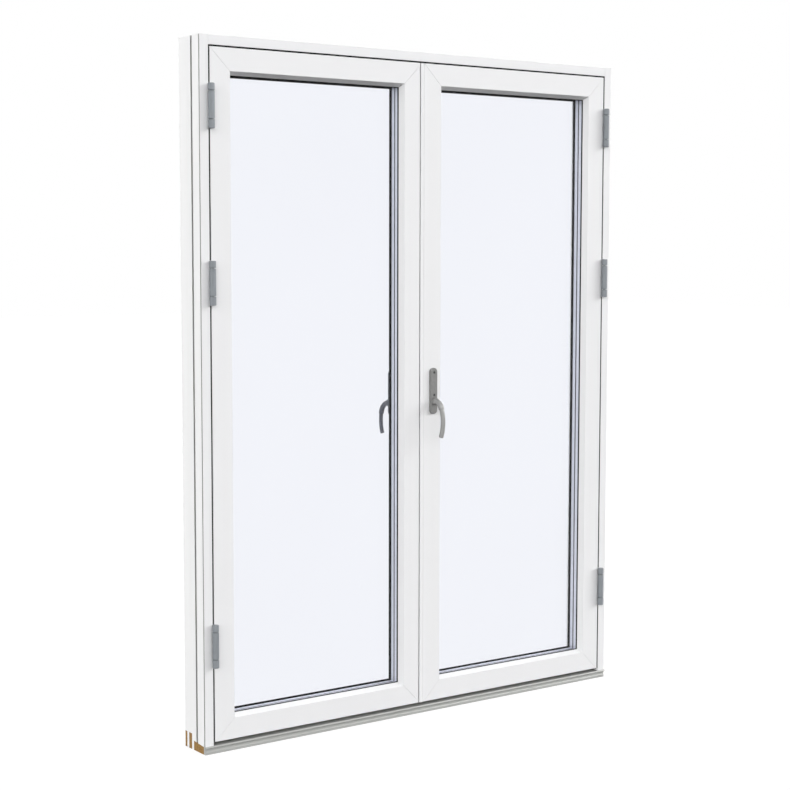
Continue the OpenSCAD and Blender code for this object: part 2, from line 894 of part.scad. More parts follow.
module frame_hinges(k) {
    x1 = half_w - frame_face;
    x0 = x1 - plate_t;
    color(zinc) placed(k) for (z = hinge_heights) {
        for (span = [[-hinge_len / 2, lower_z1], [upper_z0, hinge_len / 2]]) {
            knuckle(z + span[0], z + span[1]);
            hinge_neck(x0, x1, z + span[0] + knuckle_chamfer, z + span[1] - knuckle_chamfer);
        }
        box([x0, cover_t, z - hinge_len / 2], [x1, plate_w, z + hinge_len / 2]);
    }
}

module leaf_hinges(k) {
    x0 = half_w - frame_face - leaf_gap;
    x1 = x0 + plate_t;
    color(zinc) placed(k) for (z = hinge_heights) {
        knuckle(z + middle_z0, z + middle_z1);
        hinge_neck(x0, x1, z + middle_z0 + knuckle_chamfer, z + middle_z1 - knuckle_chamfer);
        box([x0, cover_t, z - hinge_len / 2], [x1, plate_w, z + hinge_len / 2]);
    }
}

module hinge_pins() {
    color(zinc) for (k = [LEFT, RIGHT], z = hinge_heights) {
        placed(k) translate([hinge_x, -hinge_out, z - hinge_len / 2]) cylinder(h = hinge_len, r = pin_r);
    }
}

// Outer shape of a lock: the case in the stile and the faceplate along its edge
module lock_outside(k) {
    x0 = timber_edge(k);
    x1 = spindle_x(k) + case_past_spindle;
    box(
        [x0, rod_depth - case_t / 2, pivot_z(k) - case_h / 2],
        [x1, rod_depth + case_t / 2, pivot_z(k) + case_h / 2]
    );
    box(
        [x0, rod_depth - faceplate_w / 2, leaf_bottom + faceplate_from_end],
        [x0 + faceplate_t, rod_depth + faceplate_w / 2, leaf_top - faceplate_from_end]
    );
}

module rod_groove_space(k) {
    x0 = timber_edge(k) + faceplate_t;
    box(
        [x0, rod_depth - rod_groove / 2, leaf_bottom + faceplate_from_end],
        [x0 + rod_groove, rod_depth + rod_groove / 2, leaf_top - faceplate_from_end]
    );
}

// Round way of a locking rod, with its running clearance
module rod_space(k, z0, z1) {
    translate([rod_x(k), rod_depth, z0]) cylinder(h = z1 - z0, r = rod_r + running_clear);
}

rod_in_case_room = rod_in_case + 2 * rod_set_back;

module lock_case(k) {
    z0 = pivot_z(k) - case_h / 2;
    z1 = pivot_z(k) + case_h / 2;
    color(zinc) placed(k) difference() {
        lock_outside(k);
        depth_cylinder(spindle_x(k), pivot_z(k), 0, leaf_d, follower_r + running_clear);
        rod_space(k, z0 - cut, z0 + rod_in_case_room);
        rod_space(k, z1 - rod_in_case_room, z1 + cut);
        if (k == RIGHT) screw_shanks(k, 0, leaf_d);
    }
}

module square_bar(k, d0, d1) {
    box(
        [spindle_x(k) - spindle_w / 2, d0, pivot_z(k) - spindle_w / 2],
        [spindle_x(k) + spindle_w / 2, d1, pivot_z(k) + spindle_w / 2]
    );
}

module lock_follower(k) {
    color(zinc) placed(k) difference() {
        depth_cylinder(spindle_x(k), pivot_z(k), rod_depth - case_t / 2, rod_depth + case_t / 2, follower_r);
        square_bar(k, 0, leaf_d);
    }
}

module top_rod(k) {
    z0 = pivot_z(k) + case_h / 2 - rod_in_case;
    color(zinc) placed(k) translate([rod_x(k), rod_depth, z0])
        cylinder(h = leaf_top - rod_set_back - z0, r = rod_r);
}

module bottom_rod(k) {
    z0 = leaf_bottom + rod_set_back;
    color(zinc) placed(k) translate([rod_x(k), rod_depth, z0])
        cylinder(h = pivot_z(k) - case_h / 2 + rod_in_case - z0, r = rod_r);
}

// Heights of the plate screws above the pivot
screw_heights = [screw_from_pivot, screw_from_pivot + screw_spacing];
head_seat = handle_plate_t - screw_head_t - screw_recess;
left_screw_end = leaf_d - timber_screw_l;

module screw_shanks(k, d0, d1) {
    for (z = screw_heights) {
        depth_cylinder(spindle_x(k), pivot_z(k) + z, d0, d1, screw_r);
    }
}

// Handle plate on a face at depth 0, standing out towards negative depth, with the pivot at the origin
module handle_plate() {
    r = handle_plate_w / 2;
    top_r = r - handle_plate_chamfer;
    body_t = handle_plate_t - handle_plate_chamfer;
    z0 = r - pivot_from_end;
    z1 = handle_plate_l - pivot_from_end - r;
    for (z = [z0, z1]) {
        translate([0, 0, z]) rotate([90, 0, 0]) {
            cylinder(h = body_t, r = r);
            translate([0, 0, body_t]) cylinder(h = handle_plate_chamfer, r1 = r, r2 = top_r);
        }
    }
    translate([0, 0, z0]) linear_extrude(z1 - z0) polygon([
        [-r, 0],
        [r, 0],
        [r, -body_t],
        [top_r, -handle_plate_t],
        [-top_r, -handle_plate_t],
        [-r, -body_t]
    ]);
}

module plate_holes() {
    depth_cylinder(0, 0, -handle_plate_t - cut, cut, tail_r + running_clear);
    for (z = screw_heights) {
        depth_cylinder(0, z, -handle_plate_t - cut, cut, screw_r);
        depth_cylinder(0, z, -handle_plate_t - cut, -head_seat, screw_head_r);
    }
}

// Lever with its pivot at the origin, outside a face at depth 0: tail, neck, bend and bow.
// The bar thins from neck to bend and from bend to bow, inside a ball at each of the two joints.
module lever(inside) {
    bend_r = inside ? inner_bend_r : outer_bend_r;
    bend_bar_r = inside ? inner_bend_bar_r : outer_bend_bar_r;
    grip_r = inside ? inner_grip_r : outer_grip_r;
    widest = inside ? inner_widest : outer_widest;
    drop = inside ? inner_drop : outer_drop;
    bow_y = bow_r - (inside ? inner_grip_out : outer_grip_out);
    turn = asin((widest - bend_r) / (bow_r - bend_r));
    fall = asin((drop - widest) / bow_r);
    bend_y = bow_y - (bow_r - bend_r) * cos(turn);
    foot = -handle_plate_t - lever_clear;
    bend_short = lever_clear / bend_r * 180 / PI;
    bow_short = lever_clear / bow_r * 180 / PI;
    difference() {
        union() {
            depth_cylinder(0, 0, foot, foot + tail_l, tail_r);
            depth_cylinder(0, 0, bend_y + lever_clear, foot, neck_r);
            translate([0, bend_y, 0]) sphere(r = neck_r + joint_swell);
            translate([0, bend_y, -bend_r]) rotate([0, 90, 0]) {
                rotate([0, 0, 180 + bend_short])
                    rotate_extrude(angle = 90 - turn - 2 * bend_short)
                        translate([bend_r, 0]) circle(r = bend_bar_r);
            }
            translate([0, bend_y - bend_r * cos(turn), bend_r * (sin(turn) - 1)])
                sphere(r = bend_bar_r + joint_swell);
            translate([0, bow_y, -widest]) rotate([0, 90, 0]) {
                rotate([0, 0, 270 - turn + bow_short])
                    rotate_extrude(angle = turn + fall - bow_short)
                        translate([bow_r, 0]) circle(r = grip_r);
            }
        }
        box(
            [-spindle_w / 2, -handle_plate_t - spindle_in, -spindle_w / 2],
            [spindle_w / 2, 0, spindle_w / 2]
        );
    }
}

// Places a handle piece at the pivot, on the outer face or turned round on the inner face
module at_pivot(k, inside) {
    translate([spindle_x(k), inside ? leaf_d : 0, pivot_z(k)]) {
        if (inside) mirror([0, 1, 0]) children();
        else children();
    }
}

module plate(k, inside) {
    color(satin_metal) placed(k) at_pivot(k, inside) difference() {
        handle_plate();
        plate_holes();
    }
}

module handle_lever(k, inside) {
    color(satin_metal) placed(k) at_pivot(k, inside) lever(inside);
}

module spindle(k) {
    d0 = k == LEFT ? rod_depth - case_t / 2 : -handle_plate_t - spindle_in;
    color(zinc) placed(k) square_bar(k, d0, leaf_d + handle_plate_t + spindle_in);
}

// Screw head in the recess of a plate, with a slot; the pivot is at the origin
module screw_heads() {
    slot = screw_r / 3;
    for (z = screw_heights) {
        translate([0, -head_seat, z]) difference() {
            depth_cylinder(0, 0, -screw_head_t, 0, screw_head_r);
            box([-screw_head_r, -screw_head_t - cut, -slot], [screw_head_r, -screw_head_t / 2, slot]);
        }
    }
}

module left_plate_screws() {
    color(satin_metal) placed(LEFT) {
        screw_shanks(LEFT, left_screw_end, leaf_d + head_seat);
        at_pivot(LEFT, true) screw_heads();
    }
}

module right_plate_screws() {
    color(satin_metal) placed(RIGHT) {
        screw_shanks(RIGHT, -head_seat, leaf_d + head_seat);
        at_pivot(RIGHT, false) screw_heads();
        at_pivot(RIGHT, true) screw_heads();
    }
}

jamb(LEFT);  // jamb_left
jamb(RIGHT);  // jamb_right
frame_head();
sill();
jamb_cover(LEFT);  // jamb_cover_left
jamb_cover(RIGHT);  // jamb_cover_right
head_cover();
threshold_cover();
frame_seal();
outer_frame_seal();
rod_keepers();
frame_hinges(LEFT);  // left_frame_hinges
frame_hinges(RIGHT);  // right_frame_hinges
leaf_hinges(LEFT);  // left_leaf_hinges
leaf_hinges(RIGHT);  // right_leaf_hinges
hinge_pins();
hinge_stile(LEFT);  // left_hinge_stile
meeting_stile(LEFT);  // left_meeting_stile
top_rail(LEFT);  // left_top_rail
bottom_rail(LEFT);  // left_bottom_rail
clad_hinge_side(LEFT);  // left_clad_hinge_side
clad_meeting_side(LEFT);  // left_clad_meeting_side
clad_top(LEFT);  // left_clad_top
clad_bottom(LEFT);  // left_clad_bottom
glass_panes(LEFT);  // left_glass_panes
glass_spacers(LEFT);  // left_glass_spacers
glass_gaskets(LEFT);  // left_glass_gaskets
glass_blocks(LEFT);  // left_glass_blocks
lock_case(LEFT);  // left_lock_case
lock_follower(LEFT);  // left_lock_follower
top_rod(LEFT);  // left_top_rod
bottom_rod(LEFT);  // left_bottom_rod
plate(LEFT, true);  // left_inner_plate
handle_lever(LEFT, true);  // left_inner_lever
spindle(LEFT);  // left_spindle
left_plate_screws();
hinge_stile(RIGHT);  // right_hinge_stile
meeting_stile(RIGHT);  // right_meeting_stile
top_rail(RIGHT);  // right_top_rail
bottom_rail(RIGHT);  // right_bottom_rail
clad_hinge_side(RIGHT);  // right_clad_hinge_side
clad_meeting_side(RIGHT);  // right_clad_meeting_side
clad_top(RIGHT);  // right_clad_top
clad_bottom(RIGHT);  // right_clad_bottom
glass_panes(RIGHT);  // right_glass_panes
glass_spacers(RIGHT);  // right_glass_spacers
glass_gaskets(RIGHT);  // right_glass_gaskets
glass_blocks(RIGHT);  // right_glass_blocks
lock_case(RIGHT);  // right_lock_case
lock_follower(RIGHT);  // right_lock_follower
top_rod(RIGHT);  // right_top_rod
bottom_rod(RIGHT);  // right_bottom_rod
right_cover_strip();
right_meeting_seal();
plate(RIGHT, false);  // right_outer_plate
plate(RIGHT, true);  // right_inner_plate
handle_lever(RIGHT, false);  // right_outer_lever
handle_lever(RIGHT, true);  // right_inner_lever
spindle(RIGHT);  // right_spindle
right_plate_screws();
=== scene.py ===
"""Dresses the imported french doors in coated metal, painted and bare timber, glass, rubber and satin hardware,
adds their small screws, and sets up a plain studio with the photograph's camera."""
import json
import math

import bpy
from mathutils import Matrix, Vector


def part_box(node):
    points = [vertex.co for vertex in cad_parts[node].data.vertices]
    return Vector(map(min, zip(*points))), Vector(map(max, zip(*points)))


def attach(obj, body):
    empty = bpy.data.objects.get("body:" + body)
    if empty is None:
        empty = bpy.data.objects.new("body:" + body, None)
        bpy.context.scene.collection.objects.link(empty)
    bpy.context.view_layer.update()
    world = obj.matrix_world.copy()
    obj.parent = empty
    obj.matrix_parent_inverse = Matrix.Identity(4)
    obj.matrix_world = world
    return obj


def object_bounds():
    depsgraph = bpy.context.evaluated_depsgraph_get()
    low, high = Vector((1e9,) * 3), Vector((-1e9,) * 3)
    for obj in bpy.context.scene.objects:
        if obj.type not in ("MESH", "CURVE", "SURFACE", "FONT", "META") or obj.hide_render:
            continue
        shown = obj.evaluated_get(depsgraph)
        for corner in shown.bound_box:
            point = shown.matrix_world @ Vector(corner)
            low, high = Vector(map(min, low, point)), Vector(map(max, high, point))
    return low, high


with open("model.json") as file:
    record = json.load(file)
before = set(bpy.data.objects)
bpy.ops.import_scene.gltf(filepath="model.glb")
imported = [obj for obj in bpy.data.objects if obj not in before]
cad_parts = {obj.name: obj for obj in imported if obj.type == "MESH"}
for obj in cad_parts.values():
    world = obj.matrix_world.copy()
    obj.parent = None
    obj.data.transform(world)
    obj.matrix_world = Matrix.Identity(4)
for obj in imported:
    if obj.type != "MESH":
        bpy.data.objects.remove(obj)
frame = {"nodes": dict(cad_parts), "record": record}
cad_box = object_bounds()

MM = 0.001

# Camera of the photograph, solved from the frame's edges
CAMERA_PLACE = (-3.151163, -4.232804, 1.471641)
CAMERA_TILT = math.radians(84.968)
CAMERA_TURN = math.radians(-35.233)
CAMERA_LENS = 76.08
CAMERA_SHIFT = (0.0325, 0.0029)

# Colours, in linear light
COATING_WHITE = (0.85, 0.85, 0.86, 1)
PAINT_WHITE = (0.90, 0.90, 0.90, 1)
TIMBER_LIGHT = (0.33, 0.185, 0.040, 1)
TIMBER_DARK = (0.21, 0.100, 0.012, 1)
THRESHOLD_GREY = (0.42, 0.425, 0.41, 1)
HINGE_GREY = (0.27, 0.29, 0.31, 1)
PLATE_GREY = (0.25, 0.25, 0.245, 1)
# Lever: the plate's satin metal made lighter, as painted light on the lever
LIT_LEVER_GREY = (0.35, 0.35, 0.345, 1)
# Inside levers and plates: the handle metal made near-black, as painted shade on the inner side
SHADED_INNER_HANDLE_GREY = (0.10, 0.105, 0.125, 1)
# Plate screws: near-black, as painted shade of their countersunk holes
SCREW_SHADE_GREY = (0.06, 0.06, 0.06, 1)
LOCK_GREY = (0.42, 0.43, 0.45, 1)
SPACER_GREY = (0.84, 0.86, 0.94, 1)
SEALANT_GREY = (0.12, 0.12, 0.14, 1)
# Grey of the frame's groove walls: painted shade inside the grooves, on the white paint
GROOVE_SHADE_GREY = (0.38, 0.38, 0.37, 1)
RUBBER_BLACK = (0.012, 0.012, 0.012, 1)
RUBBER_GREY = (0.16, 0.16, 0.16, 1)
BLOCK_GREY = (0.05, 0.05, 0.055, 1)
GLASS_TINT = (0.965, 0.970, 0.988, 1)
GLASS_MIRROR = (0.12, 0.12, 0.12, 1)

# Glazing unit
MIDDLE_PANE = 4 * MM
SEALANT_LINE = 1.5 * MM

# Outer groove and shadow slot of the frame's bars, whose walls get painted shade:
# how far inside the outer edge their walls lie, the axes across and along each bar,
# and how squarely a face looks along its bar to count as an end
GROOVE_WALLS = (0.2 * MM, 12 * MM)
GROOVED_BARS = {"jamb_left": (0, 2), "jamb_right": (0, 2), "frame_head": (2, 0)}
END_FACING = 0.5

# Screw heads: radius of the head, how far it stands proud, and radius of its recess
HINGE_SCREW = (4.0 * MM, 0.4 * MM, 2.2 * MM)
FACEPLATE_SCREW = (3.6 * MM, 0.5 * MM, 1.9 * MM)
HEAD_SIDES = 20
RECESS_SHARE = 0.8

# Places of the screws: heights from a hinge's middle, depths from the outer face, and along the faceplate
HINGE_PLATE = 1.8 * MM
HINGE_APART = 0.3
HINGE_SCREW_RISES = (-42 * MM, 0.0, 42 * MM)
FRAME_SCREW_DEPTHS = (14 * MM, 28 * MM, 14 * MM)
LEAF_SCREW_DEPTHS = (28 * MM, 14 * MM, 28 * MM)
FACEPLATE_SCREWS = 7
FACEPLATE_SCREW_FROM_END = 45 * MM

# Light: a surround with a bright belt above the horizon, stronger on the left, and two suns: a wide one from
# the right, and a small, weak one from the camera's side that gives the lever its gleam.
# The belt's edges are heights on a sphere of radius 1. Suns: where from, strength, width of the disc.
SURROUND_FOOT = 0.4
SURROUND_BELT = 3.8
SURROUND_TOP = 0.1
BELT_RISE = (0.04, 0.2)
BELT_FALL = (0.30, 0.52)
SURROUND_LEFT = 0.3
SUNS = {
    "soft_sun": ((0.85, -0.45, 0.45), 1.2, math.radians(24)),
    "front_light": ((-0.50, -0.62, 0.60), 0.4, math.radians(14)),
}
FLOOR_SIZE = 60.0
FLOOR_DIM = (0.04, 0.04, 0.04, 1)
FLOOR_PALE = (0.25, 0.25, 0.25, 1)
FLOOR_GLOW = 0.82


def deselect_all():
    """Leaves nothing selected, so that an operator acts only on what is picked next."""
    bpy.ops.object.select_all(action="DESELECT")


def new_group(name, inputs, outputs):
    """Makes a shader node group with float inputs and typed outputs, and returns it with its end nodes."""
    group = bpy.data.node_groups.new(name, "ShaderNodeTree")
    for label, value in inputs.items():
        socket = group.interface.new_socket(label, in_out="INPUT", socket_type="NodeSocketFloat")
        socket.default_value = value
    for label, kind in outputs.items():
        group.interface.new_socket(label, in_out="OUTPUT", socket_type=kind)
    return group, group.nodes.new("NodeGroupInput"), group.nodes.new("NodeGroupOutput")


def make_surface_grain():
    """Group: cloudy tone and fine height of a finish, stretched along an axis by the three scales."""
    group, entry, exit_node = new_group(
        "surface_grain",
        {"Scale X": 1.0, "Scale Y": 1.0, "Scale Z": 1.0, "Fine": 1.0, "Detail": 3.0},
        {"Tone": "NodeSocketFloat", "Height": "NodeSocketFloat"},
    )
    nodes, links = group.nodes, group.links
    place = nodes.new("ShaderNodeTexCoord")
    stretch = nodes.new("ShaderNodeCombineXYZ")
    scaled = nodes.new("ShaderNodeVectorMath")
    cloud = nodes.new("ShaderNodeTexNoise")
    fine = nodes.new("ShaderNodeTexNoise")
    scaled.operation = "MULTIPLY"
    cloud.inputs["Scale"].default_value = 1.0
    for axis in "XYZ":
        links.new(entry.outputs[f"Scale {axis}"], stretch.inputs[axis])
    links.new(place.outputs["Object"], scaled.inputs[0])
    links.new(stretch.outputs["Vector"], scaled.inputs[1])
    links.new(scaled.outputs["Vector"], cloud.inputs["Vector"])
    links.new(scaled.outputs["Vector"], fine.inputs["Vector"])
    links.new(entry.outputs["Detail"], cloud.inputs["Detail"])
    links.new(entry.outputs["Fine"], fine.inputs["Scale"])
    links.new(cloud.outputs["Fac"], exit_node.inputs["Tone"])
    links.new(fine.outputs["Fac"], exit_node.inputs["Height"])
    return group


SURFACE_GRAIN = make_surface_grain()


class Finish:
    """A material with one Principled shader, fed by the shared grain group."""

    def __init__(self, name, stretch, fine, detail=3.0):
        self.material = bpy.data.materials.new(name)
        self.material.use_nodes = True
        self.nodes = self.material.node_tree.nodes
        self.links = self.material.node_tree.links
        self.shader = self.nodes["Principled BSDF"]
        self.grain = self.nodes.new("ShaderNodeGroup")
        self.grain.node_tree = SURFACE_GRAIN
        for axis, value in zip("XYZ", stretch):
            self.grain.inputs[f"Scale {axis}"].default_value = value
        self.grain.inputs["Fine"].default_value = fine
        self.grain.inputs["Detail"].default_value = detail

    def colours(self, low, high, start=0.3, end=0.7):
        """Base colour that runs between two colours with the grain's tone."""
        ramp = self.nodes.new("ShaderNodeValToRGB")
        ramp.color_ramp.elements[0].position = start
        ramp.color_ramp.elements[0].color = low
        ramp.color_ramp.elements[1].position = end
        ramp.color_ramp.elements[1].color = high
        self.links.new(self.grain.outputs["Tone"], ramp.inputs["Fac"])
        self.links.new(ramp.outputs["Color"], self.shader.inputs["Base Color"])
        return self

    def roughness(self, low, high):
        """Roughness that varies with the grain's tone."""
        spread = self.nodes.new("ShaderNodeMapRange")
        spread.inputs["To Min"].default_value = low
        spread.inputs["To Max"].default_value = high
        self.links.new(self.grain.outputs["Tone"], spread.inputs["Value"])
        self.links.new(spread.outputs["Result"], self.shader.inputs["Roughness"])
        return self

    def bump(self, strength, distance):
        """Fine relief from the grain's height."""
        relief = self.nodes.new("ShaderNodeBump")
        relief.inputs["Strength"].default_value = strength
        relief.inputs["Distance"].default_value = distance
        self.links.new(self.grain.outputs["Height"], relief.inputs["Height"])
        self.links.new(relief.outputs["Normal"], self.shader.inputs["Normal"])
        return self


def shade(colour, factor):
    """The same colour, lighter or darker."""
    return tuple(channel * factor for channel in colour[:3]) + (1,)


def coated_metal():
    """Satin white coating with a faint orange peel."""
    finish = Finish("white_coated_metal", stretch=(1.5, 1.5, 1.5), fine=420.0)
    finish.colours(shade(COATING_WHITE, 0.985), COATING_WHITE).roughness(0.34, 0.44).bump(0.04, 0.2 * MM)
    return finish.material


def painted_timber(name, stretch, colour=PAINT_WHITE):
    """Opaque paint; the brush and the grain under it run the long way of the bar."""
    finish = Finish(name, stretch, fine=3.0)
    finish.colours(shade(colour, 0.975), colour).roughness(0.4, 0.52).bump(0.06, 0.3 * MM)
    return finish.material


def bare_timber():
    """Oiled sill timber, with its year rings across the ends and its grain along X."""
    finish = Finish("bare_timber", stretch=(6.0, 240.0, 240.0), fine=4.0, detail=6.0)
    finish.colours(TIMBER_DARK, TIMBER_LIGHT, 0.36, 0.62).roughness(0.5, 0.7).bump(0.25, 0.3 * MM)
    return finish.material


def metal(name, colour, stretch, rough, fine=3.0, relief=0.06, metallic=1.0):
    """Bare, plated or lacquered metal with a directional grain."""
    finish = Finish(name, stretch, fine)
    finish.shader.inputs["Metallic"].default_value = metallic
    finish.colours(shade(colour, 0.9), shade(colour, 1.06)).roughness(*rough).bump(relief, 0.1 * MM)
    return finish.material


def calculate(finish, operation, first, second=None):
    """Socket with the result of one operation on a socket and, where it takes one, a number."""
    node = finish.nodes.new("ShaderNodeMath")
    node.operation = operation
    finish.links.new(first, node.inputs[0])
    if second is not None:
        node.inputs[1].default_value = second
    return node.outputs["Value"]


def sealed_spacer():
    """Light spacer bars of the glazing unit, with a dark line of sealant along each pane."""
    finish = Finish("sealed_spacer", stretch=(40.0, 40.0, 40.0), fine=5.0)
    finish.shader.inputs["Metallic"].default_value = 0.7
    finish.colours(shade(SPACER_GREY, 0.96), SPACER_GREY).roughness(0.4, 0.55).bump(0.05, 0.1 * MM)
    nodes, links = finish.nodes, finish.links
    low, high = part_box("left_glass_spacers")
    cavity = (high[1] - low[1] - MIDDLE_PANE) / 2
    place = nodes.new("ShaderNodeTexCoord")
    parts = nodes.new("ShaderNodeSeparateXYZ")
    links.new(place.outputs["Object"], parts.inputs["Vector"])
    depth = calculate(finish, "SUBTRACT", parts.outputs["Y"], low[1])
    in_cavity = calculate(finish, "MODULO", depth, cavity + MIDDLE_PANE)
    off_middle = calculate(finish, "ABSOLUTE", calculate(finish, "SUBTRACT", in_cavity, cavity / 2))
    at_pane = calculate(finish, "GREATER_THAN", off_middle, cavity / 2 - SEALANT_LINE)
    lined = nodes.new("ShaderNodeMixRGB")
    lined.inputs["Color2"].default_value = SEALANT_GREY
    links.new(at_pane, lined.inputs["Fac"])
    links.new(finish.shader.inputs["Base Color"].links[0].from_socket, lined.inputs["Color1"])
    links.new(lined.outputs["Color"], finish.shader.inputs["Base Color"])
    return finish.material


def rubber(name, colour):
    """Extruded rubber, matt, with faint draw lines."""
    finish = Finish(name, stretch=(30.0, 30.0, 30.0), fine=40.0)
    finish.shader.inputs["Specular IOR Level"].default_value = 0.15
    finish.colours(shade(colour, 0.8), shade(colour, 1.2)).roughness(0.6, 0.8).bump(0.1, 0.1 * MM)
    return finish.material


def block_plastic():
    """Moulded glazing blocks."""
    finish = Finish("block_plastic", stretch=(60.0, 60.0, 60.0), fine=8.0)
    finish.colours(shade(BLOCK_GREY, 0.85), shade(BLOCK_GREY, 1.15)).roughness(0.45, 0.6).bump(0.15, 0.1 * MM)
    return finish.material


def clear_glass():
    """Float glass: clear, with a breath of blue, and open to the lamps' light."""
    finish = Finish("clear_glass", stretch=(0.8, 0.8, 0.8), fine=2.0)
    finish.colours(shade(GLASS_TINT, 0.994), GLASS_TINT)
    finish.shader.inputs["Transmission Weight"].default_value = 1.0
    finish.shader.inputs["Roughness"].default_value = 0.0
    finish.shader.inputs["IOR"].default_value = 1.5
    finish.shader.inputs["Specular Tint"].default_value = GLASS_MIRROR
    light_path = finish.nodes.new("ShaderNodeLightPath")
    open_to_light = finish.nodes.new("ShaderNodeBsdfTransparent")
    choose = finish.nodes.new("ShaderNodeMixShader")
    output = finish.nodes["Material Output"]
    finish.links.new(light_path.outputs["Is Shadow Ray"], choose.inputs["Fac"])
    finish.links.new(finish.shader.outputs["BSDF"], choose.inputs[1])
    finish.links.new(open_to_light.outputs["BSDF"], choose.inputs[2])
    finish.links.new(choose.outputs["Shader"], output.inputs["Surface"])
    return finish.material


# Stretch of the grain: the lower the number, the longer the grain runs on that axis
ALONG_X = (1.5, 50.0, 50.0)
ALONG_Z = (50.0, 50.0, 1.5)
DRAWN = (1.2, 420.0, 420.0)
ROLLED = (300.0, 300.0, 30.0)
PLATED = (200.0, 200.0, 20.0)
SATIN = (500.0, 500.0, 160.0)

brushed_threshold = metal(
    "brushed_threshold", THRESHOLD_GREY, DRAWN, (0.36, 0.5), fine=2.0, relief=0.12, metallic=0.5
)
plated_hinge = metal("plated_hinge", HINGE_GREY, ROLLED, (0.34, 0.44), metallic=0.6)
satin_plate = metal("satin_plate", PLATE_GREY, SATIN, (0.3, 0.4), metallic=0.6)
# The lever is lighter than the plate of the same metal: painted light
satin_lever_painted_light = metal("satin_lever_painted_light", LIT_LEVER_GREY, SATIN, (0.28, 0.36), metallic=0.7)
# Inside handles: the same metal as outside, near-black as painted shade
inner_handle_shade = metal("painted_shade_inner_handle", SHADED_INNER_HANDLE_GREY, SATIN, (0.3, 0.4), metallic=0.5)
# Plate screws: near-black painted shade of the countersunk holes
painted_shade_screw = metal("painted_shade_screw", SCREW_SHADE_GREY, SATIN, (0.4, 0.5), metallic=0.6)
plated_screw = metal("plated_screw", shade(LOCK_GREY, 0.6), SATIN, (0.3, 0.4), metallic=0.8)
level_paint = painted_timber("painted_timber_level", ALONG_X)
# Groove walls: the white paint turned grey, as painted shade
painted_groove_shade = painted_timber("painted_groove_shade", ALONG_Z, GROOVE_SHADE_GREY)
MATERIALS = {
    "white_metal": coated_metal(),
    "white_timber": painted_timber("painted_timber_upright", ALONG_Z),
    "bare_timber": bare_timber(),
    "threshold_metal": brushed_threshold,
    "hinge_metal": plated_hinge,
    "handle_metal": satin_plate,
    "lock_steel": metal("zinc_plated_steel", LOCK_GREY, PLATED, (0.28, 0.4), relief=0.08),
    "spacer_metal": sealed_spacer(),
    "black_rubber": rubber("black_rubber", RUBBER_BLACK),
    "grey_rubber": rubber("grey_rubber", RUBBER_GREY),
    "block_plastic": block_plastic(),
    "glass": clear_glass(),
}
LEVEL_BARS = ("frame_head", "left_top_rail", "left_bottom_rail", "right_top_rail", "right_bottom_rail")
NODE_FINISHES = {
    "right_outer_lever": satin_lever_painted_light,
    "right_inner_lever": inner_handle_shade,
    "right_inner_plate": inner_handle_shade,
    "left_inner_lever": inner_handle_shade,
    "left_inner_plate": inner_handle_shade,
    "right_plate_screws": painted_shade_screw,
    "left_plate_screws": painted_shade_screw,
    **{bar: level_paint for bar in LEVEL_BARS},
}


def dress_cad_nodes():
    """Gives every CAD node its own finish or that of its slot in the record."""
    for part in frame["record"]["subparts"]:
        piece = frame["nodes"][part["node"]]
        piece.data.materials.clear()
        piece.data.materials.append(NODE_FINISHES.get(part["node"], MATERIALS[part["material_slot"]]))


def paint_groove_shade():
    """Paints shade on the walls of the frame's outer groove and shadow slot as a grey, not on the bars' ends.
    """
    outer_corner = cad_box[1]
    for name, (outward, length) in GROOVED_BARS.items():
        mesh = frame["nodes"][name].data
        mesh.materials.append(painted_groove_shade)
        for face in mesh.polygons:
            inside = outer_corner[outward] - abs(face.center[outward])
            at_end = abs(face.normal[length]) > END_FACING
            if GROOVE_WALLS[0] < inside < GROOVE_WALLS[1] and not at_end:
                face.material_index = 1


def recessed_head(name, size):
    """One screw head on the floor plane, facing up, with a recess for the driver."""
    radius, proud, recess = size
    deselect_all()
    middle = (0, 0, proud / 2)
    bpy.ops.mesh.primitive_cylinder_add(vertices=HEAD_SIDES, radius=radius, depth=proud, location=middle)
    head = bpy.context.object
    head.name = name
    pick_top(head)
    bpy.ops.object.mode_set(mode="EDIT")
    bpy.ops.mesh.inset(thickness=radius - recess)
    bpy.ops.mesh.extrude_region_move(TRANSFORM_OT_translate={"value": (0, 0, -RECESS_SHARE * proud)})
    bpy.ops.object.mode_set(mode="OBJECT")
    return head


def pick_top(piece):
    """Selects only the top face of a piece."""
    bpy.ops.object.mode_set(mode="EDIT")
    bpy.ops.mesh.select_all(action="DESELECT")
    bpy.ops.mesh.select_mode(type="FACE")
    bpy.ops.object.mode_set(mode="OBJECT")
    top = max(face.center.z for face in piece.data.polygons)
    for face in piece.data.polygons:
        face.select = face.center.z == top


def place_copy(model, place, facing, body, material):
    """Sets a copy of a head, with its own mesh, on a surface that faces a direction, riding a body."""
    mesh = model.data.copy()
    turn = Vector(facing).to_track_quat("Z", "Y").to_matrix().to_4x4()
    mesh.transform(Matrix.Translation(place) @ turn)
    mesh.materials.clear()
    mesh.materials.append(material)
    piece = bpy.data.objects.new(model.name, mesh)
    bpy.context.scene.collection.objects.link(piece)
    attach(piece, body)


def levels(node):
    """Middle heights of the groups that a node's pieces form, one above the other."""
    heights = sorted(vertex.co.z for vertex in frame["nodes"][node].data.vertices)
    groups = [[heights[0]]]
    for height in heights[1:]:
        if height - groups[-1][-1] > HINGE_APART:
            groups.append([])
        groups[-1].append(height)
    return [(group[0] + group[-1]) / 2 for group in groups]


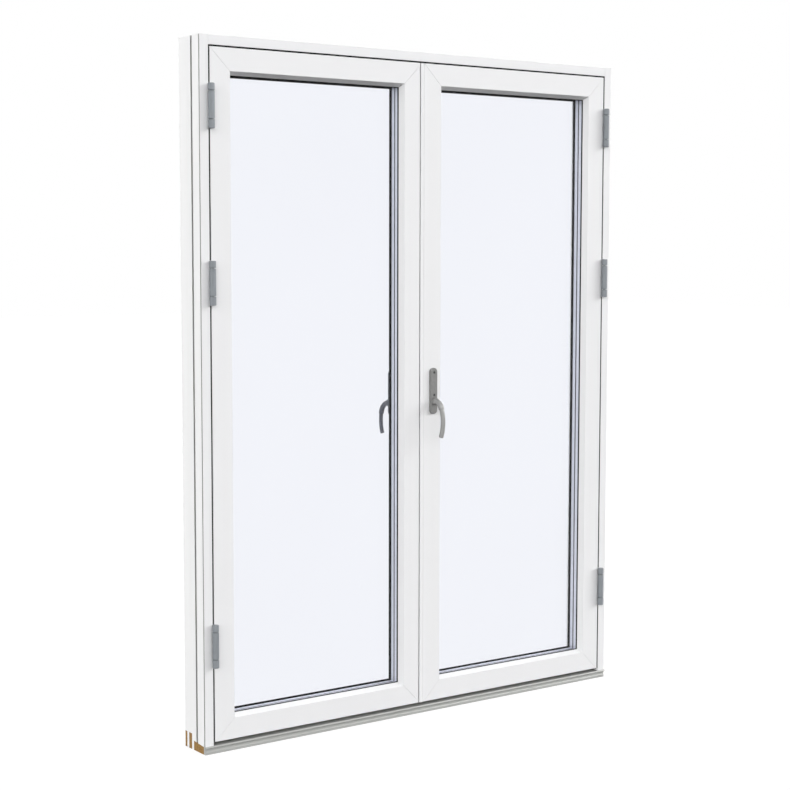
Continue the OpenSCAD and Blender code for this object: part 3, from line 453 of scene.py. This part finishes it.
def add_hinge_screws():
    """Three screws in a zigzag on each hinge plate, on the frame's side and on the leaf's."""
    head = recessed_head("hinge_screw", HINGE_SCREW)
    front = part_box("head_cover")[0][1]
    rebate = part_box("jamb_cover_right")[0][0] - HINGE_PLATE
    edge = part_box("right_clad_hinge_side")[1][0] + HINGE_PLATE
    for height in levels("hinge_pins"):
        for rise, frame_depth, leaf_depth in zip(HINGE_SCREW_RISES, FRAME_SCREW_DEPTHS, LEAF_SCREW_DEPTHS):
            for side, sign in (("left", -1), ("right", 1)):
                on_frame = (sign * rebate, front + frame_depth, height + rise)
                on_leaf = (sign * edge, front + leaf_depth, height + rise)
                place_copy(head, on_frame, (-sign, 0, 0), "frame", plated_screw)
                place_copy(head, on_leaf, (sign, 0, 0), f"{side}_leaf", plated_screw)
    bpy.data.objects.remove(head)


def add_faceplate_screws():
    """Row of screws along the lock's faceplate in the meeting edge of each leaf."""
    head = recessed_head("faceplate_screw", FACEPLATE_SCREW)
    for side, sign in (("left", 1), ("right", -1)):
        low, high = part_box(f"{side}_lock_case")
        across = high[0] if sign > 0 else low[0]
        depth = (low[1] + high[1]) / 2
        first = low[2] + FACEPLATE_SCREW_FROM_END
        spacing = (high[2] - low[2] - 2 * FACEPLATE_SCREW_FROM_END) / (FACEPLATE_SCREWS - 1)
        for number in range(FACEPLATE_SCREWS):
            place = (across, depth, first + number * spacing)
            place_copy(head, place, (sign, 0, 0), f"{side}_leaf", plated_screw)
    bpy.data.objects.remove(head)


def build_studio():
    """Pale floor, white surround and the suns."""
    deselect_all()
    bpy.ops.mesh.primitive_plane_add(size=FLOOR_SIZE, location=(0, 0, 0))
    floor = bpy.context.object
    floor.name = "studio_floor"
    floor.data.materials.append(floor_material())
    for name, setting in SUNS.items():
        add_sun(name, *setting)
    add_surround()


def add_sun(name, place, strength, angle):
    """One sun that shines from a place towards the origin."""
    data = bpy.data.lights.new(name, "SUN")
    data.energy = strength
    data.angle = angle
    sun = bpy.data.objects.new(name, data)
    sun.location = place
    sun.rotation_euler = (-Vector(place)).to_track_quat("-Z", "Y").to_euler()
    bpy.context.scene.collection.objects.link(sun)


def add_surround():
    """Surround that lights the doors from a soft belt, and is plain white where it is seen."""
    world = bpy.data.worlds.new("white_surround")
    bpy.context.scene.world = world
    world.use_nodes = True
    nodes, links = world.node_tree.nodes, world.node_tree.links
    lighting = nodes["Background"]
    lighting.inputs["Color"].default_value = (1, 1, 1, 1)
    direction = nodes.new("ShaderNodeTexCoord")
    parts = nodes.new("ShaderNodeSeparateXYZ")
    links.new(direction.outputs["Generated"], parts.inputs["Vector"])
    lower = belt_edge(nodes, links, parts.outputs["Z"], BELT_RISE)
    lower.inputs["To Min"].default_value = SURROUND_FOOT
    lower.inputs["To Max"].default_value = SURROUND_BELT
    level = belt_edge(nodes, links, parts.outputs["Z"], BELT_FALL)
    links.new(lower.outputs["Result"], level.inputs["To Min"])
    level.inputs["To Max"].default_value = SURROUND_TOP
    side = nodes.new("ShaderNodeMath")
    side.operation = "MULTIPLY_ADD"
    side.inputs[1].default_value = -SURROUND_LEFT
    side.inputs[2].default_value = 1.0
    links.new(parts.outputs["X"], side.inputs[0])
    strength = nodes.new("ShaderNodeMath")
    strength.operation = "MULTIPLY"
    links.new(level.outputs["Result"], strength.inputs[0])
    links.new(side.outputs["Value"], strength.inputs[1])
    links.new(strength.outputs["Value"], lighting.inputs["Strength"])
    seen = nodes.new("ShaderNodeBackground")
    seen.inputs["Color"].default_value = (1, 1, 1, 1)
    choose = nodes.new("ShaderNodeMixShader")
    links.new(seen_rays(nodes, links), choose.inputs["Fac"])
    links.new(lighting.outputs["Background"], choose.inputs[1])
    links.new(seen.outputs["Background"], choose.inputs[2])
    links.new(choose.outputs["Shader"], nodes["World Output"].inputs["Surface"])


def belt_edge(nodes, links, height, edge):
    """Node that changes softly from one strength to another between two heights."""
    node = nodes.new("ShaderNodeMapRange")
    node.interpolation_type = "SMOOTHSTEP"
    node.inputs["From Min"].default_value, node.inputs["From Max"].default_value = edge
    links.new(height, node.inputs["Value"])
    return node


def larger(nodes, links, first, second):
    """Socket with the larger of two values."""
    node = nodes.new("ShaderNodeMath")
    node.operation = "MAXIMUM"
    links.new(first, node.inputs[0])
    links.new(second, node.inputs[1])
    return node.outputs["Value"]


def seen_rays(nodes, links):
    """Socket that is 1 for rays that show the surround: camera, glossy and transmission rays."""
    rays = nodes.new("ShaderNodeLightPath").outputs
    mirrored = larger(nodes, links, rays["Is Glossy Ray"], rays["Is Transmission Ray"])
    return larger(nodes, links, rays["Is Camera Ray"], mirrored)


def floor_material():
    """Pale floor: white where it is seen, with the doors' soft shadow kept on it, and dim as a reflector."""
    material = bpy.data.materials.new("pale_floor")
    material.use_nodes = True
    nodes, links = material.node_tree.nodes, material.node_tree.links
    dim = nodes["Principled BSDF"]
    dim.inputs["Base Color"].default_value = FLOOR_DIM
    dim.inputs["Roughness"].default_value = 1.0
    dim.inputs["Specular IOR Level"].default_value = 0.0
    pale = nodes.new("ShaderNodeBsdfDiffuse")
    pale.inputs["Color"].default_value = FLOOR_PALE
    glow = nodes.new("ShaderNodeEmission")
    glow.inputs["Strength"].default_value = FLOOR_GLOW
    shown = nodes.new("ShaderNodeAddShader")
    links.new(glow.outputs["Emission"], shown.inputs[0])
    links.new(pale.outputs["BSDF"], shown.inputs[1])
    white = nodes.new("ShaderNodeEmission")
    rays = nodes.new("ShaderNodeLightPath").outputs
    by_camera = nodes.new("ShaderNodeMixShader")
    by_mirror = nodes.new("ShaderNodeMixShader")
    links.new(rays["Is Camera Ray"], by_camera.inputs["Fac"])
    links.new(dim.outputs["BSDF"], by_camera.inputs[1])
    links.new(shown.outputs["Shader"], by_camera.inputs[2])
    mirrored = larger(nodes, links, rays["Is Glossy Ray"], rays["Is Transmission Ray"])
    links.new(mirrored, by_mirror.inputs["Fac"])
    links.new(by_camera.outputs["Shader"], by_mirror.inputs[1])
    links.new(white.outputs["Emission"], by_mirror.inputs[2])
    links.new(by_mirror.outputs["Shader"], nodes["Material Output"].inputs["Surface"])
    return material


def add_camera():
    """Camera at the photograph's place, angle and framing."""
    data = bpy.data.cameras.new("photo_camera")
    data.lens = CAMERA_LENS
    data.shift_x, data.shift_y = CAMERA_SHIFT
    camera = bpy.data.objects.new("photo_camera", data)
    camera.location = CAMERA_PLACE
    camera.rotation_euler = (CAMERA_TILT, 0, CAMERA_TURN)
    bpy.context.scene.collection.objects.link(camera)
    bpy.context.scene.camera = camera


dress_cad_nodes()
paint_groove_shade()
add_hinge_screws()
add_faceplate_screws()
build_studio()
add_camera()
bpy.context.scene.view_settings.view_transform = "Standard"
